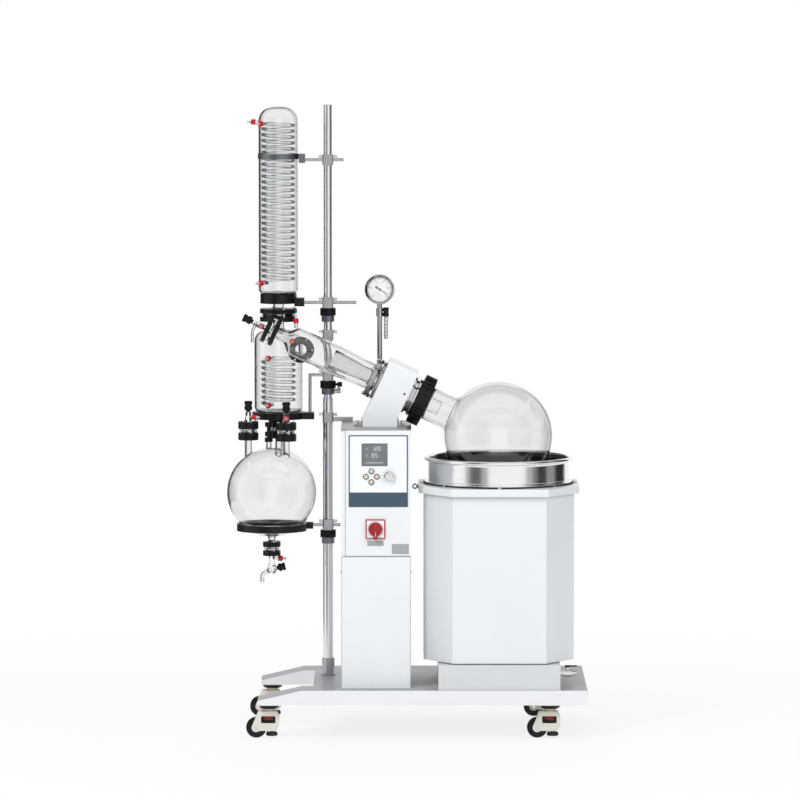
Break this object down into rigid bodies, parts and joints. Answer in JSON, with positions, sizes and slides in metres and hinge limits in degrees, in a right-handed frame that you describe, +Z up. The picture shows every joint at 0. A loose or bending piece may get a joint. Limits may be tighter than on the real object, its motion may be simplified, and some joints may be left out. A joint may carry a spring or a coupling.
{
  "type": "rotary evaporator",
  "caption": "Floor-standing rotary evaporator: tilted glass flask in a lifting heating bath, upright coil condensers, receiving flask, pole, control cabinet and castered base.",
  "frame": {"origin": "centre of the overall footprint, on the floor", "axes": "+Z up, -Y to the front with the controls, +X towards the bath"},
  "size_m": [1.1285, 0.674, 1.963],
  "materials": {
    "white_paint": "powder coat",
    "panel_film": "printed film",
    "clear_plastic": "clear",
    "switch_frame": "moulded",
    "red_plastic": "moulded",
    "knob_plastic": "moulded",
    "stainless": "brushed",
    "polished_steel": "polished",
    "grey_casting": "satin casting",
    "black_plastic": "moulded",
    "glass": "clear borosilicate",
    "dial_face": "printed face",
    "black_paint": "painted",
    "black_rubber": "moulded",
    "cream_plastic": "moulded",
    "black_nylon": "moulded"
  },
  "bodies": {
    "stand": {"base_frame": "white_paint", "cabinet_shell": "white_paint", "control_box": "white_paint", "control_panel": "panel_film", "clear_windows": "clear_plastic", "switch_plate": "switch_frame", "housing_mount": "stainless", "gear_housing": "white_paint", "housing_flanges": "polished_steel", "shaft_bearings": "polished_steel", "drive_motor": "grey_casting", "vapour_arm": "glass", "main_pole": "stainless", "pole_clamps": "grey_casting", "black_fittings": "black_plastic", "steel_clamps": "stainless", "support_rods": "stainless", "support_rings": "black_plastic", "condenser_jacket": "glass", "condenser_coil": "glass", "aux_jacket": "glass", "aux_coil": "glass", "receiver_flask": "glass", "flange_clamps": "black_plastic", "valve_bodies": "glass", "hose_caps": "red_plastic", "gauge_case": "polished_steel", "gauge_dial": "dial_face", "pedestal": "white_paint", "lift_column": "grey_casting", "bath_drain": "polished_steel", "fasteners": "polished_steel"},
    "rotor": {"rotor_sleeve": "polished_steel", "lock_ring": "black_plastic", "evaporating_flask": "glass", "vapour_tube": "glass"},
    "pinion_body": {"pinion": "polished_steel"},
    "bath": {"bath_shell": "white_paint", "bath_plate": "white_paint", "bath_seal": "black_rubber", "bath_pan": "stainless", "heater_coil": "stainless", "lift_ram": "polished_steel"},
    "switch": {"switch_handle": "red_plastic"},
    "dial": {"speed_knob": "knob_plastic"},
    "inlet_valve": {"inlet_knob": "black_plastic"},
    "vent_valve": {"vent_knob": "black_plastic"},
    "feed_valve": {"feed_knob": "black_plastic"},
    "drain_valve": {"drain_knob": "black_plastic"},
    "needle": {"gauge_pointer": "black_paint"},
    "lever": {"clamp_lever": "grey_casting"},
    "bath_valve": {"bath_drain_lever": "polished_steel"},
    "caster_1": {"caster_housing_1": "cream_plastic"},
    "wheel_1": {"caster_wheel_1": "black_nylon"},
    "caster_2": {"caster_housing_2": "cream_plastic"},
    "wheel_2": {"caster_wheel_2": "black_nylon"},
    "caster_3": {"caster_housing_3": "cream_plastic"},
    "wheel_3": {"caster_wheel_3": "black_nylon"},
    "caster_4": {"caster_housing_4": "cream_plastic"},
    "wheel_4": {"caster_wheel_4": "black_nylon"}
  },
  "joints": [
    {"name": "flask_spin", "type": "hinge", "parent": "stand", "child": "rotor", "pos_m": [0.0494, -0.08, 1.04], "axis": [0.9063, 0, -0.4226], "continuous": true},
    {"name": "pinion_spin", "type": "hinge", "parent": "stand", "child": "pinion_body", "pos_m": [0.01897, -0.08, 0.97475], "axis": [0.9063, 0, -0.4226], "continuous": true},
    {"name": "bath_lift", "type": "slide", "parent": "stand", "child": "bath", "axis": [0, 0, 1], "range_m": [0, 0.08]},
    {"name": "mains_turn", "type": "hinge", "parent": "stand", "child": "switch", "pos_m": [-0.0955, -0.267, 0.652], "axis": [0, 1, 0], "range_deg": [0, 90]},
    {"name": "speed_turn", "type": "hinge", "parent": "stand", "child": "dial", "pos_m": [-0.0525, -0.267, 0.816], "axis": [0, 1, 0], "range_deg": [-135, 135]},
    {"name": "inlet_turn", "type": "hinge", "parent": "stand", "child": "inlet_valve", "pos_m": [-0.4968, 0, 1], "axis": [0, 0, 1], "range_deg": [0, 360]},
    {"name": "vent_turn", "type": "hinge", "parent": "stand", "child": "vent_valve", "pos_m": [-0.3765, -0.05, 1], "axis": [0, 0, 1], "range_deg": [0, 360]},
    {"name": "feed_turn", "type": "hinge", "parent": "stand", "child": "feed_valve", "pos_m": [-0.47898, -0.08, 1.28639], "axis": [-0.9063, 0, 0.4226], "range_deg": [0, 360]},
    {"name": "drain_turn", "type": "hinge", "parent": "stand", "child": "drain_valve", "pos_m": [-0.4235, 0, 0.499], "axis": [0.9703, 0, 0.2419], "range_deg": [0, 360]},
    {"name": "needle_turn", "type": "hinge", "parent": "stand", "child": "needle", "pos_m": [-0.083, 0.013, 1.383], "axis": [0, 1, 0], "range_deg": [0, 120]},
    {"name": "lever_turn", "type": "hinge", "parent": "stand", "child": "lever", "pos_m": [-0.2265, 0.075, 1.0575], "axis": [1, 0, 0], "range_deg": [-25, 100]},
    {"name": "bath_drain_turn", "type": "hinge", "parent": "stand", "child": "bath_valve", "pos_m": [0.5025, -0.292, 0.225], "axis": [0, 0, 1], "range_deg": [-90, 0]},
    {"name": "swivel_1", "type": "hinge", "parent": "stand", "child": "caster_1", "pos_m": [-0.427, -0.272, 0.1], "axis": [0, 0, 1], "continuous": true},
    {"name": "roll_1", "type": "hinge", "parent": "caster_1", "child": "wheel_1", "pos_m": [-0.467, -0.272, 0.032], "axis": [0, 1, 0], "continuous": true},
    {"name": "swivel_2", "type": "hinge", "parent": "stand", "child": "caster_2", "pos_m": [-0.427, 0.272, 0.1], "axis": [0, 0, 1], "continuous": true},
    {"name": "roll_2", "type": "hinge", "parent": "caster_2", "child": "wheel_2", "pos_m": [-0.467, 0.272, 0.032], "axis": [0, 1, 0], "continuous": true},
    {"name": "swivel_3", "type": "hinge", "parent": "stand", "child": "caster_3", "pos_m": [0.449, -0.272, 0.1], "axis": [0, 0, 1], "continuous": true},
    {"name": "roll_3", "type": "hinge", "parent": "caster_3", "child": "wheel_3", "pos_m": [0.409, -0.272, 0.032], "axis": [0, 1, 0], "continuous": true},
    {"name": "swivel_4", "type": "hinge", "parent": "stand", "child": "caster_4", "pos_m": [0.449, 0.272, 0.1], "axis": [0, 0, 1], "continuous": true},
    {"name": "roll_4", "type": "hinge", "parent": "caster_4", "child": "wheel_4", "pos_m": [0.409, 0.272, 0.032], "axis": [0, 1, 0], "continuous": true}
  ],
  "couplings": [
    {"joint": "pinion_spin", "follows": "flask_spin", "ratio": -3}
  ]
}
